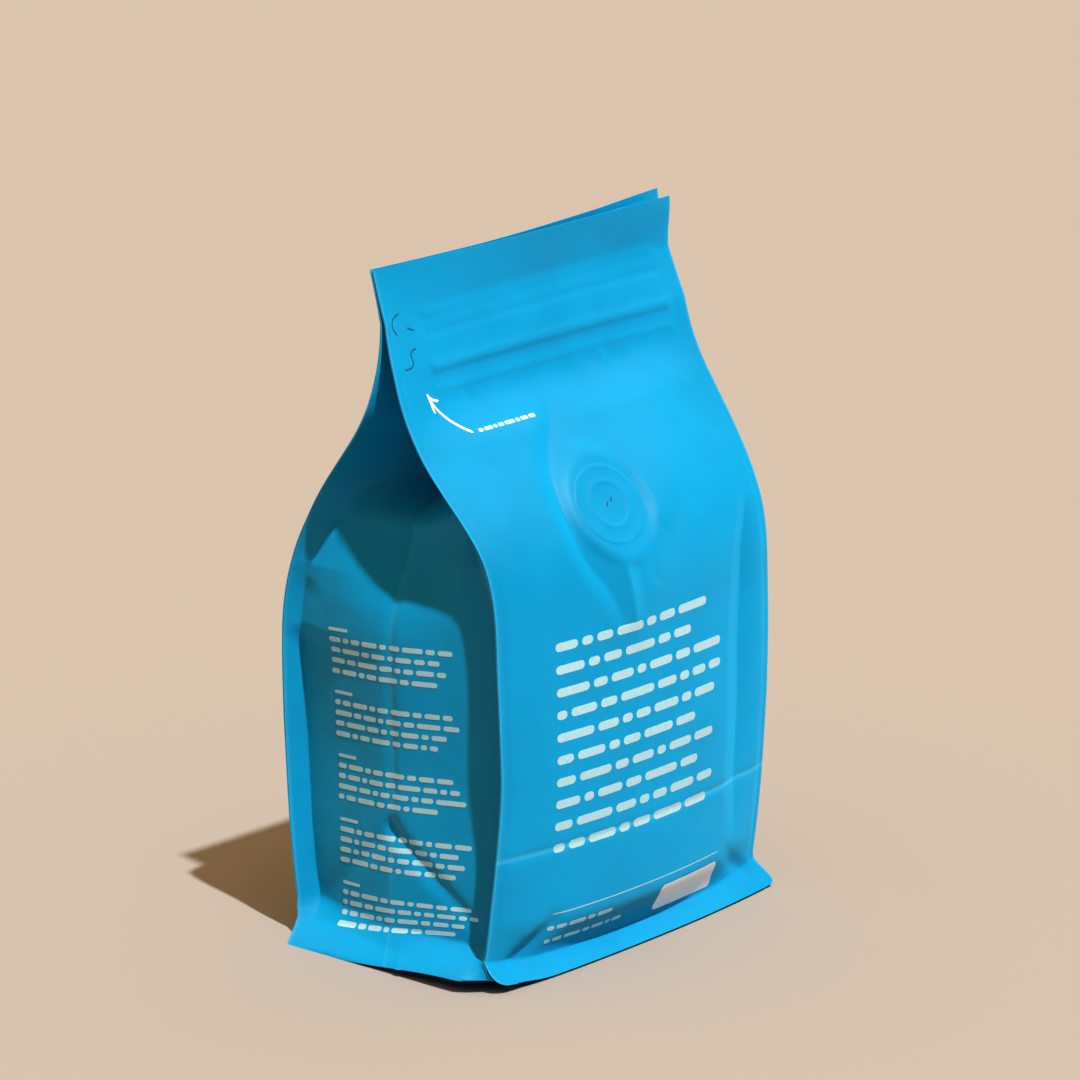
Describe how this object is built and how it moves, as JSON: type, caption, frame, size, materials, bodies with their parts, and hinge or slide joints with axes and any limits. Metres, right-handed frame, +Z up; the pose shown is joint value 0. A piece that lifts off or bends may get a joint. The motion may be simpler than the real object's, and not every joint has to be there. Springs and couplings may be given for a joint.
{
  "type": "coffee bag",
  "caption": "Full side-gusseted, flat-bottomed film bag of coffee, standing shut, with corner seal fins, a pressed zip header, a base skirt and a round degassing valve.",
  "frame": {"origin": "centre of the bounding box on the floor that the bag stands on", "axes": "+Z up along the height, front panel with the valve towards -Y, width along X"},
  "size_m": [0.1516, 0.1086, 0.232],
  "materials": {
    "film": "sky blue printed laminate film with a soft matt varnish, fine crumple and sharp seal edges",
    "print_pale": "pale blue-white ink bars under the matt varnish",
    "print_white": "opaque white ink, slightly grey, under the matt varnish"
  },
  "bodies": {
    "root": {"pouch": "film"}
  },
  "joints": []
}
